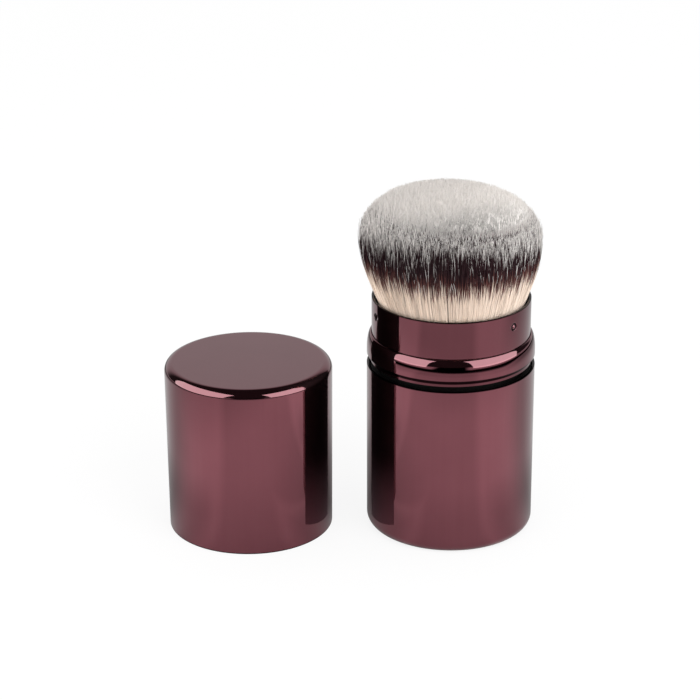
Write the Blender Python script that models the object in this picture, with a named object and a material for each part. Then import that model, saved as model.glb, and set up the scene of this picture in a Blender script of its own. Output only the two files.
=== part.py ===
# Retractable makeup brush with its cap taken off and stood beside it.
#
# The brush stands on the origin with its axis along +Z. The base carries the bristle knot,
# the collar slides up and down around the knot, and the cap is a piece of its own.

import math

import bmesh
import bpy
from mathutils import Matrix

MM = 0.001

# How round pieces are divided
SEGMENTS = 36
SMALL_SEGMENTS = 16
EDGE_STEPS = 3
SHOULDER_STEPS = 5
FLARE_STEPS = 5
DOME_STEPS = 7
RUBBER_SIDES = 8
SHARP_ANGLE = math.radians(35)
WELD = 0.001 * MM

# Clearances
GLUE_GAP = 0.1 * MM
RUNNING_GAP = 0.12 * MM
RUBBER_GAP = 0.04 * MM
SEAT_GAP = 0.25 * MM
HAIR_GAP = 0.15 * MM
OVERRUN = 1.0 * MM

# Base: the metal cup that is held in the hand
BASE_RADIUS = 17.6 * MM
BASE_HEIGHT = 36.45 * MM
BASE_WALL = 0.5 * MM
BASE_FOOT_ROUND = 2.2 * MM
METAL_EDGE_ROUND = 0.2 * MM

# Ballast ring in the bottom of the cup
BALLAST_TO_ROUND = 0.4 * MM
BALLAST_THICKNESS = 3.1 * MM
BALLAST_BORE = 4.6 * MM
BALLAST_CHAMFER = 0.5 * MM

# Plastic liner that guides the collar
LINER_WALL = 0.7 * MM
LINER_FLOOR = 1.2 * MM
KEY_COUNT = 3
KEY_WIDTH = 2.0 * MM
BUSH_HEIGHT = 2.0 * MM

# Post and the two screws that clamp it
POST_RADIUS = 6.0 * MM
POST_FLANGE_RADIUS = 11.5 * MM
POST_FLANGE_THICKNESS = 1.6 * MM
POST_FILLET = 1.5 * MM
SCREW_RADIUS = 1.3 * MM
SCREW_HEAD_RADIUS = 2.5 * MM
SCREW_HEAD_HEIGHT = 1.4 * MM
SCREW_LENGTH = 8.0 * MM
SCREW_TIP = 1.0 * MM
SCREW_SOCKET_RADIUS = 1.1 * MM
SCREW_SOCKET_DEPTH = 0.8 * MM
WASHER_RADIUS = 3.4 * MM
WASHER_THICKNESS = 0.5 * MM

# Ferrule cup that holds the roots of the bristles
FERRULE_WALL = 0.4 * MM
FERRULE_FLOOR = 0.6 * MM
FERRULE_HEIGHT = 16.2 * MM
FERRULE_BELOW_RIM = 9.0 * MM
RESIN_DEPTH = 7.3 * MM
BINDING_HEIGHT = 1.6 * MM
BINDING_THICKNESS = 0.6 * MM
SLEEVE_TO_FERRULE = 0.5 * MM

# Bristles, as they stand when nothing presses on them
BRISTLE_TO_COLLAR = 0.35 * MM
BRISTLE_FLARE = 3.05 * MM
BRISTLE_WIDEST_HEIGHT = 12.25 * MM
BRISTLE_DOME_HEIGHT = 10.75 * MM
DOME_ROUNDNESS = 2.6

# Collar: the sliding sleeve with its metal collar and trim ring
RING_GAP_OPEN = 2.2 * MM
RING_GAP_CLOSED = 0.5 * MM
RING_HEIGHT = 4.65 * MM
RING_BAND_HEIGHT = 1.45 * MM
RING_SKIRT_DEPTH = 1.2 * MM
RING_SKIRT_INSET = 0.2 * MM
RING_FLANGE = 0.5 * MM
COLLAR_INSET = 1.0 * MM
COLLAR_WALL = 0.45 * MM
COLLAR_EXPOSED = 7.9 * MM
SLEEVE_WALL = 0.9 * MM
SLEEVE_HEAD_WALL = 0.6 * MM
SLEEVE_BELOW_RIM = 1.4 * MM
STOP_HEIGHT = 3.4 * MM
STOP_WALL = 0.88 * MM
STOP_ABOVE_FLOOR = 1.0 * MM
GROOVE_WIDTH = 1.0 * MM
GROOVE_DEPTH = 0.55 * MM

# Three grip bumps pressed out of the collar
BUMP_COUNT = 3
BUMP_PROUD = 0.22 * MM
BUMP_RADIUS = 0.75 * MM
BUMP_BELOW_RIM = 2.9 * MM
FIRST_BUMP_ANGLE = math.radians(-42)
BUMP_RINGS = 3

# Cap, standing on its mouth beside the brush
CAP_MOUTH_INSET = 0.2 * MM
CAP_FLARE = 0.25 * MM
CAP_HEIGHT = 36.8 * MM
CAP_WALL = 0.45 * MM
CAP_EDGE_ROUND = 1.8 * MM
CAP_LINER_WALL = 0.5 * MM
CAP_LINER_ABOVE_COLLAR = 3.5 * MM
CAP_SPACING = 7.25 * MM

# Radii that follow, from the outside in
SHELL_BORE = BASE_RADIUS - BASE_WALL
LINER_RADIUS = SHELL_BORE - GLUE_GAP
LINER_BORE = LINER_RADIUS - LINER_WALL
STOP_RADIUS = LINER_BORE - RUNNING_GAP
STOP_BORE = STOP_RADIUS - STOP_WALL
SLEEVE_RADIUS = STOP_BORE - GLUE_GAP
BUSH_BORE = SLEEVE_RADIUS + RUNNING_GAP
SLEEVE_BORE = SLEEVE_RADIUS - SLEEVE_WALL
FERRULE_RADIUS = SLEEVE_BORE - SLEEVE_TO_FERRULE
FERRULE_BORE = FERRULE_RADIUS - FERRULE_WALL
KNOT_RADIUS = FERRULE_BORE - HAIR_GAP
BOUND_RADIUS = KNOT_RADIUS - BINDING_THICKNESS
RING_RADIUS = BASE_RADIUS
COLLAR_RADIUS = BASE_RADIUS - COLLAR_INSET
COLLAR_BORE = COLLAR_RADIUS - COLLAR_WALL
SLEEVE_HEAD_RADIUS = COLLAR_BORE - GLUE_GAP
SLEEVE_HEAD_BORE = SLEEVE_HEAD_RADIUS - SLEEVE_HEAD_WALL
RING_BORE = COLLAR_RADIUS + GLUE_GAP
RING_FLANGE_BORE = SLEEVE_RADIUS + GLUE_GAP
RING_SKIRT_RADIUS = SHELL_BORE - RING_SKIRT_INSET
BRISTLE_EXIT_RADIUS = COLLAR_BORE - BRISTLE_TO_COLLAR
BRISTLE_WIDEST_RADIUS = BRISTLE_EXIT_RADIUS + BRISTLE_FLARE
BALLAST_RADIUS = BASE_RADIUS - BASE_FOOT_ROUND - BALLAST_TO_ROUND
CAP_MOUTH_RADIUS = BASE_RADIUS - CAP_MOUTH_INSET
CAP_TOP_RADIUS = CAP_MOUTH_RADIUS + CAP_FLARE
CAP_DISTANCE = BASE_RADIUS + CAP_TOP_RADIUS + CAP_SPACING

# Heights that follow, with the collar as the open brush has it
COLLAR_DROP = RING_GAP_OPEN - RING_GAP_CLOSED
RING_BOTTOM = BASE_HEIGHT + RING_GAP_OPEN
RING_TOP = RING_BOTTOM + RING_HEIGHT
SKIRT_BOTTOM = RING_BOTTOM - RING_SKIRT_DEPTH
FLANGE_TOP = RING_BOTTOM + RING_FLANGE
COLLAR_RIM = RING_TOP + COLLAR_EXPOSED
SLEEVE_TOP = COLLAR_RIM - SLEEVE_BELOW_RIM
BUSH_TOP = SKIRT_BOTTOM - COLLAR_DROP - SEAT_GAP
BUSH_BOTTOM = BUSH_TOP - BUSH_HEIGHT
LINER_TOP = BUSH_BOTTOM - GLUE_GAP
BALLAST_BOTTOM = BASE_WALL + GLUE_GAP
BALLAST_TOP = BALLAST_BOTTOM + BALLAST_THICKNESS
LINER_BOTTOM = BALLAST_TOP + SEAT_GAP
FLOOR_TOP = LINER_BOTTOM + LINER_FLOOR
STOP_BOTTOM = FLOOR_TOP + COLLAR_DROP + STOP_ABOVE_FLOOR
STOP_TOP = STOP_BOTTOM + STOP_HEIGHT
COLLAR_STROKE = BUSH_BOTTOM - SEAT_GAP - STOP_TOP
KEY_BOTTOM = STOP_BOTTOM + GLUE_GAP
KEY_TOP = STOP_BOTTOM + (STOP_HEIGHT - GROOVE_WIDTH) / 2 - GLUE_GAP
FERRULE_TOP = COLLAR_RIM - FERRULE_BELOW_RIM
FERRULE_BOTTOM = FERRULE_TOP - FERRULE_HEIGHT
POST_BOTTOM = FLOOR_TOP + GLUE_GAP
POST_TOP = FERRULE_BOTTOM - GLUE_GAP
FERRULE_FLOOR_TOP = FERRULE_BOTTOM + FERRULE_FLOOR
RESIN_TOP = FERRULE_FLOOR_TOP + GLUE_GAP + RESIN_DEPTH
KNOT_BOTTOM = RESIN_TOP + GLUE_GAP
BINDING_BOTTOM = KNOT_BOTTOM + SEAT_GAP
BINDING_TOP = BINDING_BOTTOM + BINDING_HEIGHT
CAP_LINER_BOTTOM = COLLAR_EXPOSED + CAP_LINER_ABOVE_COLLAR
WIDEST_Z = COLLAR_RIM + BRISTLE_WIDEST_HEIGHT


def clear_scene():
    """Remove every object that the file opens with."""
    for thing in list(bpy.data.objects):
        bpy.data.objects.remove(thing, do_unlink=True)


def finish(name, colour, roughness, metallic):
    """Make one Principled material."""
    material = bpy.data.materials.new(name)
    material.use_nodes = True
    shader = material.node_tree.nodes["Principled BSDF"]
    shader.inputs["Base Color"].default_value = (*colour, 1)
    shader.inputs["Roughness"].default_value = roughness
    shader.inputs["Metallic"].default_value = metallic
    return material


def plated_metal(name):
    """Polished aluminium with a wine-coloured plating."""
    return finish(name, (0.115, 0.035, 0.045), 0.12, 1.0)


def bare_aluminium(name):
    """Aluminium as it comes from the press."""
    return finish(name, (0.60, 0.60, 0.61), 0.30, 1.0)


def steel(name):
    """Zinc-plated steel."""
    return finish(name, (0.46, 0.47, 0.48), 0.35, 1.0)


def moulded_plastic(name):
    """Dark moulded plastic."""
    return finish(name, (0.022, 0.016, 0.018), 0.45, 0.0)


def rubber(name):
    """Black rubber."""
    return finish(name, (0.010, 0.010, 0.010), 0.70, 0.0)


def resin(name):
    """Amber casting resin."""
    return finish(name, (0.55, 0.36, 0.14), 0.25, 0.0)


def thread(name):
    """Waxed binding thread."""
    return finish(name, (0.62, 0.55, 0.44), 0.80, 0.0)


def hair(name):
    """Soft fibre, averaged over its cream roots, dark band and pale tips."""
    return finish(name, (0.42, 0.36, 0.34), 0.60, 0.0)


def pivot(name, place):
    """Make the empty that a body's pieces hang on."""
    empty = bpy.data.objects.new(name, None)
    empty.location = place
    bpy.context.scene.collection.objects.link(empty)
    return empty


def place_mesh(bm, name, material, parent):
    """Turn a bmesh into an object whose points keep their height above the surface."""
    bmesh.ops.remove_doubles(bm, verts=bm.verts, dist=WELD)
    bmesh.ops.recalc_face_normals(bm, faces=bm.faces)
    bmesh.ops.translate(bm, verts=bm.verts, vec=(0, 0, -parent.location.z))
    mesh = bpy.data.meshes.new(name)
    bm.to_mesh(mesh)
    bm.free()
    mesh.shade_smooth()
    mesh.set_sharp_from_angle(angle=SHARP_ANGLE)
    if material:
        mesh.materials.append(material)
    piece = bpy.data.objects.new(name, mesh)
    piece.parent = parent
    bpy.context.scene.collection.objects.link(piece)
    return piece


def turned(name, outline, material, parent, segments=SEGMENTS):
    """Turn an outline of (radius, height) points about Z.

    An outline that starts and ends on the axis is left open there, and any other is closed.
    """
    bm = bmesh.new()
    points = [bm.verts.new((radius, 0, height)) for radius, height in outline]
    edges = [bm.edges.new(pair) for pair in zip(points, points[1:])]
    if outline[0][0] > 0 or outline[-1][0] > 0:
        edges.append(bm.edges.new((points[-1], points[0])))
    bmesh.ops.spin(bm, geom=points + edges, cent=(0, 0, 0), axis=(0, 0, 1), angle=math.tau,
                   steps=segments, use_merge=True)
    return place_mesh(bm, name, material, parent)


def arc(centre, across, up, start, end, steps):
    """Points on a quarter of an ellipse about centre, from start to end in degrees."""
    points = []
    for step in range(steps + 1):
        angle = math.radians(start + (end - start) * step / steps)
        points.append((centre[0] + across * math.cos(angle), centre[1] + up * math.sin(angle)))
    return points


def round_corner(radius, height, size, start, steps=EDGE_STEPS):
    """A quarter round whose centre is at (radius, height), starting at start degrees."""
    return arc((radius, height), size, size, start, start + 90, steps)


def tube_outline(outer, bore, bottom, top):
    """The outline of a plain ring."""
    return [(bore, top), (outer, top), (outer, bottom), (bore, bottom)]


def block(name, size, centre, parent, angle):
    """A box cutter, turned about Z by angle."""
    bm = bmesh.new()
    bmesh.ops.create_cube(bm, size=1)
    bmesh.ops.scale(bm, verts=bm.verts, vec=size)
    bmesh.ops.translate(bm, verts=bm.verts, vec=centre)
    bmesh.ops.rotate(bm, verts=bm.verts, cent=(0, 0, 0), matrix=Matrix.Rotation(angle, 3, "Z"))
    return as_tool(place_mesh(bm, name, None, parent))


def as_tool(piece):
    """Mark a piece as a helper that isn't part of the object."""
    piece.hide_render = True
    piece.display_type = "WIRE"
    return piece


def combine(piece, tool, operation):
    """Cut a piece with a tool, or join the tool to it."""
    step = piece.modifiers.new(tool.name, "BOOLEAN")
    step.object = tool
    step.operation = operation
    step.solver = "EXACT"


def key_angles():
    """Where the three keys stand around the axis."""
    return [math.tau * number / KEY_COUNT for number in range(KEY_COUNT)]


def screw_outline(head_bottom, direction):
    """A socket screw's outline, from its head's underside along direction."""
    head_top = head_bottom - direction * SCREW_HEAD_HEIGHT
    socket = head_top + direction * SCREW_SOCKET_DEPTH
    tip = head_bottom + direction * SCREW_LENGTH
    return [
        (0, socket),
        (SCREW_SOCKET_RADIUS, socket),
        (SCREW_SOCKET_RADIUS, head_top),
        (SCREW_HEAD_RADIUS, head_top),
        (SCREW_HEAD_RADIUS, head_bottom),
        (SCREW_RADIUS, head_bottom),
        (SCREW_RADIUS, tip - direction * SCREW_TIP),
        (0, tip),
    ]


def make_base_shell(body):
    """The drawn metal cup, closed below and rounded at its foot."""
    foot = BASE_FOOT_ROUND
    edge = METAL_EDGE_ROUND
    lip = BASE_HEIGHT - edge
    outline = [(0, 0)]
    outline += arc((BASE_RADIUS - foot, foot), foot, foot, -90, 0, SHOULDER_STEPS)
    outline += round_corner(BASE_RADIUS - edge, lip, edge, 0)
    outline += [(SHELL_BORE, BASE_HEIGHT), (SHELL_BORE, foot)]
    inner = foot - BASE_WALL
    outline += arc((BASE_RADIUS - foot, foot), inner, inner, 0, -90, EDGE_STEPS)[1:]
    outline += [(0, BASE_WALL)]
    turned("base_shell", outline, plated_metal("base_plating"), body)


def make_ballast(body):
    """The steel ring that makes the brush stand well."""
    chamfer = BALLAST_CHAMFER
    outline = [
        (BALLAST_BORE, BALLAST_TOP),
        (BALLAST_RADIUS - chamfer, BALLAST_TOP),
        (BALLAST_RADIUS, BALLAST_TOP - chamfer),
        (BALLAST_RADIUS, BALLAST_BOTTOM + chamfer),
        (BALLAST_RADIUS - chamfer, BALLAST_BOTTOM),
        (BALLAST_BORE, BALLAST_BOTTOM),
    ]
    turned("ballast_ring", outline, steel("ballast_steel"), body)


def make_base_liner(body):
    """The plastic cup inside the shell, slotted for the collar's three keys."""
    hole = SCREW_RADIUS + SEAT_GAP
    outline = [
        (LINER_BORE, LINER_TOP),
        (LINER_RADIUS, LINER_TOP),
        (LINER_RADIUS, LINER_BOTTOM),
        (hole, LINER_BOTTOM),
        (hole, FLOOR_TOP),
        (LINER_BORE, FLOOR_TOP),
    ]
    liner = turned("base_liner", outline, moulded_plastic("liner_plastic"), body)
    bottom = KEY_BOTTOM - COLLAR_DROP - SEAT_GAP
    top = KEY_TOP + COLLAR_STROKE + SEAT_GAP
    width = KEY_WIDTH + 2 * SEAT_GAP
    depth = LINER_WALL + 2 * OVERRUN
    middle = (LINER_BORE + LINER_RADIUS) / 2
    for number, angle in enumerate(key_angles()):
        size = (depth, width, top - bottom)
        centre = (middle, 0, (top + bottom) / 2)
        combine(liner, block(f"keyway_tool_{number + 1}", size, centre, body, angle), "DIFFERENCE")


def make_guide_bush(body):
    """The ring in the cup's mouth that guides the sleeve and stops it from coming out."""
    outline = tube_outline(LINER_RADIUS, BUSH_BORE, BUSH_BOTTOM, BUSH_TOP)
    turned("guide_bush", outline, moulded_plastic("bush_plastic"), body)


def make_post(body):
    """The column that carries the ferrule, drilled at both ends for its screws."""
    fillet = POST_FILLET
    lower = POST_BOTTOM + POST_FLANGE_THICKNESS
    upper = POST_TOP - POST_FLANGE_THICKNESS
    hole = SCREW_RADIUS + GLUE_GAP
    lower_end = screw_seat_below() + SCREW_LENGTH + SEAT_GAP
    upper_end = screw_seat_above() - SCREW_LENGTH - SEAT_GAP
    outline = [(0, upper_end), (hole, upper_end), (hole, POST_TOP)]
    outline += [(POST_FLANGE_RADIUS, POST_TOP), (POST_FLANGE_RADIUS, upper)]
    outline += arc((POST_RADIUS + fillet, upper - fillet), fillet, fillet, 90, 180, EDGE_STEPS)
    outline += arc((POST_RADIUS + fillet, lower + fillet), fillet, fillet, 180, 270, EDGE_STEPS)
    outline += [(POST_FLANGE_RADIUS, lower), (POST_FLANGE_RADIUS, POST_BOTTOM)]
    outline += [(hole, POST_BOTTOM), (hole, lower_end), (0, lower_end)]
    turned("knot_post", outline, moulded_plastic("post_plastic"), body, 2 * SMALL_SEGMENTS)


def screw_seat_below():
    """Height of the lower screw's head, against its washer under the liner's floor."""
    return LINER_BOTTOM - WASHER_THICKNESS - 2 * GLUE_GAP


def screw_seat_above():
    """Height of the upper screw's head, on its washer in the ferrule."""
    return FERRULE_FLOOR_TOP + WASHER_THICKNESS + 2 * GLUE_GAP


def make_fasteners(body):
    """The two screws that clamp the post, each with its washer."""
    bore = SCREW_RADIUS + GLUE_GAP
    lower_washer = LINER_BOTTOM - GLUE_GAP
    upper_washer = FERRULE_FLOOR_TOP + GLUE_GAP
    turned("post_washer", tube_outline(WASHER_RADIUS, bore, lower_washer - WASHER_THICKNESS, lower_washer),
           steel("post_washer_steel"), body, SMALL_SEGMENTS)
    turned("ferrule_washer", tube_outline(WASHER_RADIUS, bore, upper_washer, upper_washer + WASHER_THICKNESS),
           steel("ferrule_washer_steel"), body, SMALL_SEGMENTS)
    turned("post_screw", screw_outline(screw_seat_below(), 1), steel("post_screw_steel"), body, SMALL_SEGMENTS)
    turned("ferrule_screw", screw_outline(screw_seat_above(), -1), steel("ferrule_screw_steel"), body,
           SMALL_SEGMENTS)


def make_ferrule(body):
    """The aluminium cup on top of the post."""
    hole = SCREW_RADIUS + GLUE_GAP
    edge = METAL_EDGE_ROUND
    outline = [(hole, FERRULE_FLOOR_TOP), (FERRULE_BORE, FERRULE_FLOOR_TOP), (FERRULE_BORE, FERRULE_TOP)]
    outline += [(FERRULE_RADIUS - edge, FERRULE_TOP), (FERRULE_RADIUS, FERRULE_TOP - edge)]
    outline += [(FERRULE_RADIUS, FERRULE_BOTTOM + edge), (FERRULE_RADIUS - edge, FERRULE_BOTTOM)]
    outline += [(hole, FERRULE_BOTTOM)]
    turned("ferrule_cup", outline, bare_aluminium("ferrule_aluminium"), body)


def make_resin(body):
    """The cast plug that locks the roots, with a pocket over the screw."""
    pocket = WASHER_RADIUS + SEAT_GAP
    pocket_top = screw_seat_above() + SCREW_HEAD_HEIGHT + SEAT_GAP
    bottom = FERRULE_FLOOR_TOP + GLUE_GAP
    outline = [(0, RESIN_TOP), (KNOT_RADIUS, RESIN_TOP), (KNOT_RADIUS, bottom)]
    outline += [(pocket, bottom), (pocket, pocket_top), (0, pocket_top)]
    turned("resin_plug", outline, resin("knot_resin"), body)


def make_binding(body):
    """The thread that ties the roots together."""
    outline = tube_outline(KNOT_RADIUS, BOUND_RADIUS, BINDING_BOTTOM, BINDING_TOP)
    turned("knot_binding", outline, thread("binding_thread"), body)


def bristle_outline():
    """The bundle's outline: bound roots, a flare above the collar and a domed top."""
    waist = BOUND_RADIUS - HAIR_GAP
    outline = [(0, KNOT_BOTTOM), (waist, KNOT_BOTTOM), (waist, BINDING_TOP + HAIR_GAP)]
    outline += [(KNOT_RADIUS, BINDING_TOP + HAIR_GAP), (KNOT_RADIUS, FERRULE_TOP)]
    outline += [(SLEEVE_HEAD_BORE - HAIR_GAP, SLEEVE_TOP)]
    for step in range(FLARE_STEPS + 1):
        share = step / FLARE_STEPS
        grown = math.sin(share * math.pi / 2)
        radius = BRISTLE_EXIT_RADIUS + (BRISTLE_WIDEST_RADIUS - BRISTLE_EXIT_RADIUS) * grown
        outline.append((radius, COLLAR_RIM + BRISTLE_WIDEST_HEIGHT * share))
    for step in range(1, DOME_STEPS + 1):
        angle = math.pi / 2 * step / DOME_STEPS
        across = max(math.cos(angle), 0) ** (2 / DOME_ROUNDNESS) if step < DOME_STEPS else 0
        up = math.sin(angle) ** (2 / DOME_ROUNDNESS)
        outline.append((BRISTLE_WIDEST_RADIUS * across, WIDEST_Z + BRISTLE_DOME_HEIGHT * up))
    return outline


def make_bristles(body):
    """The bundle of soft bristles, as one closed form."""
    turned("bristle_head", bristle_outline(), hair("bristle_fibre"), body)


def make_sleeve(body):
    """The plastic tube that slides in the base, with a wider head inside the metal collar."""
    head_bottom = FLANGE_TOP + GLUE_GAP
    bore_step = head_bottom + SLEEVE_WALL
    outline = [
        (SLEEVE_HEAD_BORE, SLEEVE_TOP),
        (SLEEVE_HEAD_RADIUS, SLEEVE_TOP),
        (SLEEVE_HEAD_RADIUS, head_bottom),
        (SLEEVE_RADIUS, head_bottom),
        (SLEEVE_RADIUS, STOP_BOTTOM),
        (SLEEVE_BORE, STOP_BOTTOM),
        (SLEEVE_BORE, bore_step),
        (SLEEVE_HEAD_BORE, bore_step + SLEEVE_HEAD_BORE - SLEEVE_BORE),
    ]
    turned("guide_sleeve", outline, moulded_plastic("sleeve_plastic"), body)


def make_stop_ring(body):
    """The ring on the sleeve's foot, grooved for the rubber ring and keyed to the liner."""
    middle = (STOP_TOP + STOP_BOTTOM) / 2
    floor = STOP_RADIUS - GROOVE_DEPTH
    outline = [
        (STOP_BORE, STOP_TOP),
        (STOP_RADIUS, STOP_TOP),
        (STOP_RADIUS, middle + GROOVE_WIDTH / 2),
        (floor, middle + GROOVE_WIDTH / 2),
        (floor, middle - GROOVE_WIDTH / 2),
        (STOP_RADIUS, middle - GROOVE_WIDTH / 2),
        (STOP_RADIUS, STOP_BOTTOM),
        (STOP_BORE, STOP_BOTTOM),
    ]
    ring = turned("stop_ring", outline, moulded_plastic("stop_plastic"), body)
    inner = STOP_RADIUS - GROOVE_DEPTH / 2
    outer = LINER_RADIUS - GLUE_GAP
    for number, angle in enumerate(key_angles()):
        size = (outer - inner, KEY_WIDTH, KEY_TOP - KEY_BOTTOM)
        centre = ((outer + inner) / 2, 0, (KEY_TOP + KEY_BOTTOM) / 2)
        combine(ring, block(f"key_tool_{number + 1}", size, centre, body, angle), "UNION")


def make_friction_ring(body):
    """The rubber ring that holds the collar wherever it is left."""
    inner = STOP_RADIUS - GROOVE_DEPTH + RUBBER_GAP
    outer = LINER_BORE - RUBBER_GAP
    section = (outer - inner) / 2
    centre = ((outer + inner) / 2, (STOP_TOP + STOP_BOTTOM) / 2)
    outline = arc(centre, section, section, 0, 360, RUBBER_SIDES)[:-1]
    turned("friction_ring", outline, rubber("ring_rubber"), body)


def make_trim_ring(body):
    """The metal ring below the collar: a band, a rounded shoulder and a skirt underneath."""
    edge = METAL_EDGE_ROUND
    across = RING_RADIUS - RING_BORE
    band_top = RING_BOTTOM + RING_BAND_HEIGHT
    outline = [(RING_BORE, FLANGE_TOP)]
    outline += arc((RING_BORE, band_top), across, RING_TOP - band_top, 90, 0, SHOULDER_STEPS)
    outline += [(RING_RADIUS, RING_BOTTOM + edge), (RING_RADIUS - edge, RING_BOTTOM)]
    outline += [(RING_SKIRT_RADIUS, RING_BOTTOM), (RING_SKIRT_RADIUS, SKIRT_BOTTOM)]
    outline += [(RING_FLANGE_BORE, SKIRT_BOTTOM), (RING_FLANGE_BORE, FLANGE_TOP)]
    turned("trim_ring", outline, plated_metal("ring_plating"), body)


def bump_shape(body):
    """Three low domes around the collar, as one joining tool."""
    bm = bmesh.new()
    height = COLLAR_RIM - BUMP_BELOW_RIM
    depth = (BUMP_PROUD + COLLAR_WALL / 2) / 2
    centre = COLLAR_RADIUS + BUMP_PROUD - depth
    for number in range(BUMP_COUNT):
        made = bmesh.ops.create_uvsphere(bm, u_segments=RUBBER_SIDES, v_segments=2 * BUMP_RINGS, radius=1)
        bmesh.ops.scale(bm, verts=made["verts"], vec=(depth, BUMP_RADIUS, BUMP_RADIUS))
        bmesh.ops.translate(bm, verts=made["verts"], vec=(centre, 0, height))
        angle = FIRST_BUMP_ANGLE + math.tau * number / BUMP_COUNT
        bmesh.ops.rotate(bm, verts=made["verts"], cent=(0, 0, 0), matrix=Matrix.Rotation(angle, 3, "Z"))
    return as_tool(place_mesh(bm, "bump_tool", None, body))


def make_collar_shell(body):
    """The thin metal collar around the bristles, with its three grip bumps."""
    edge = METAL_EDGE_ROUND
    bottom = FLANGE_TOP + GLUE_GAP
    outline = [(COLLAR_BORE, bottom), (COLLAR_BORE, COLLAR_RIM)]
    outline += round_corner(COLLAR_RADIUS - edge, COLLAR_RIM - edge, edge, 0)[::-1]
    outline += [(COLLAR_RADIUS, bottom)]
    collar = turned("collar_shell", outline, plated_metal("collar_plating"), body)
    combine(collar, bump_shape(body), "UNION")


def cap_radius(height):
    """The cap's outer radius at a height above its mouth: it widens a little upwards."""
    share = height / (CAP_HEIGHT - CAP_EDGE_ROUND)
    return CAP_MOUTH_RADIUS + (CAP_TOP_RADIUS - CAP_MOUTH_RADIUS) * share


def make_cap_shell(body):
    """The drawn metal cap, open below."""
    edge = METAL_EDGE_ROUND
    rounding = CAP_EDGE_ROUND
    start = CAP_HEIGHT - rounding
    inner = rounding - CAP_WALL
    centre = (CAP_TOP_RADIUS - rounding, start)
    outline = [(0, CAP_HEIGHT)]
    outline += arc(centre, rounding, rounding, 90, 0, SHOULDER_STEPS)
    outline += [(cap_radius(edge), edge), (cap_radius(0) - edge, 0), (cap_radius(0) - CAP_WALL, 0)]
    outline += arc(centre, inner, inner, 0, 90, EDGE_STEPS)
    outline += [(0, CAP_HEIGHT - CAP_WALL)]
    turned("cap_shell", outline, plated_metal("cap_plating"), body)


def make_cap_liner(body):
    """The plastic thimble in the cap's closed end, above the collar's reach."""
    wall = CAP_LINER_WALL
    top = CAP_HEIGHT - CAP_WALL - GLUE_GAP
    bottom = CAP_LINER_BOTTOM
    lower = cap_radius(bottom) - CAP_WALL - GLUE_GAP
    rounding = CAP_EDGE_ROUND - CAP_WALL - GLUE_GAP
    inner = rounding - wall
    centre = (CAP_TOP_RADIUS - CAP_EDGE_ROUND, top - rounding)
    outline = [(0, top)]
    outline += arc(centre, rounding, rounding, 90, 0, EDGE_STEPS)
    outline += [(lower, bottom), (lower - wall, bottom)]
    outline += arc(centre, inner, inner, 0, 90, EDGE_STEPS)
    outline += [(0, top - wall)]
    turned("cap_liner", outline, moulded_plastic("cap_liner_plastic"), body)


def make_base(body):
    """Every piece that stays with the hand-held base."""
    make_base_shell(body)
    make_ballast(body)
    make_base_liner(body)
    make_guide_bush(body)
    make_post(body)
    make_fasteners(body)
    make_ferrule(body)
    make_resin(body)
    make_binding(body)
    make_bristles(body)


def make_collar(body):
    """Every piece that slides up and down with the collar."""
    make_sleeve(body)
    make_stop_ring(body)
    make_friction_ring(body)
    make_collar_shell(body)
    make_trim_ring(body)


def make_cap(body):
    """Both pieces of the cap."""
    make_cap_shell(body)
    make_cap_liner(body)


def main():
    """Build the brush and its cap."""
    clear_scene()
    make_base(pivot("base_axis", (0, 0, 0)))
    make_collar(pivot("collar_axis", (0, 0, RING_BOTTOM)))
    make_cap(pivot("cap_axis", (-CAP_DISTANCE, 0, 0)))


main()
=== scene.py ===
"""The looks of a retractable makeup brush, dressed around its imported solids.

The brush stands open on a pale floor with its cap beside it. The metal and plastic pieces that
show are turned again as smooth forms, the bristles are grown one by one with geometry nodes,
and every finish is made of nodes. All lengths are in metres, in the frame of the solids.
"""

from __future__ import annotations

import logging
import math
from dataclasses import dataclass
from enum import Enum
from functools import cached_property
from typing import Any, Callable, NamedTuple, Sequence

import bmesh
import bpy
from bmesh.types import BMesh, BMVert
from bpy.types import ID, GeometryNodeTree, Material, Node, NodeSocket, NodeTree, Object
from mathutils import Matrix, Vector


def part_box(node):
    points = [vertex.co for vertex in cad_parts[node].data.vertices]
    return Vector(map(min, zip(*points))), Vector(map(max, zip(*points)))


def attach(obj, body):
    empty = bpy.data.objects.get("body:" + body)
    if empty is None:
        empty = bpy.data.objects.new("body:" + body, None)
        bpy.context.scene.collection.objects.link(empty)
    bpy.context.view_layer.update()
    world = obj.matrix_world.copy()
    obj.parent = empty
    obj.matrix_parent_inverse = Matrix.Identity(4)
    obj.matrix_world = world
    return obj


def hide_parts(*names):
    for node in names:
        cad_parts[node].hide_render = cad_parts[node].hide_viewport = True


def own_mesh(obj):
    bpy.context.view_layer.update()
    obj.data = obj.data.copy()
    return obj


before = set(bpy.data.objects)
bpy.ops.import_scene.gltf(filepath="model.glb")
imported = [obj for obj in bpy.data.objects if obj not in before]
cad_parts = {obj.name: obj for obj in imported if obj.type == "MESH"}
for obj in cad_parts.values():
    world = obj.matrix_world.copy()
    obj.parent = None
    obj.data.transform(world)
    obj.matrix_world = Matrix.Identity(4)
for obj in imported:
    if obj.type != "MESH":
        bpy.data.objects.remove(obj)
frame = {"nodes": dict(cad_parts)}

log = logging.getLogger("brush")

MM = 0.001

ROUND_SEGMENTS = 192
EVEN_ANGLES = [math.tau * number / ROUND_SEGMENTS for number in range(ROUND_SEGMENTS)]
SHARP_ANGLE = math.radians(35)
EDGE_SUPPORT = 0.12 * MM
LONG_STRETCH = 3 * EDGE_SUPPORT
AXIS_LIMIT = 0.001 * MM
SHOULDER_STEPS = 24
TOP_STEPS = 20
FOOT_STEPS = 16
INNER_STEPS = 8
EDGE_STEPS = 6
RIM_STEPS = 4
BUSH_STEPS = 3

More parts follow.
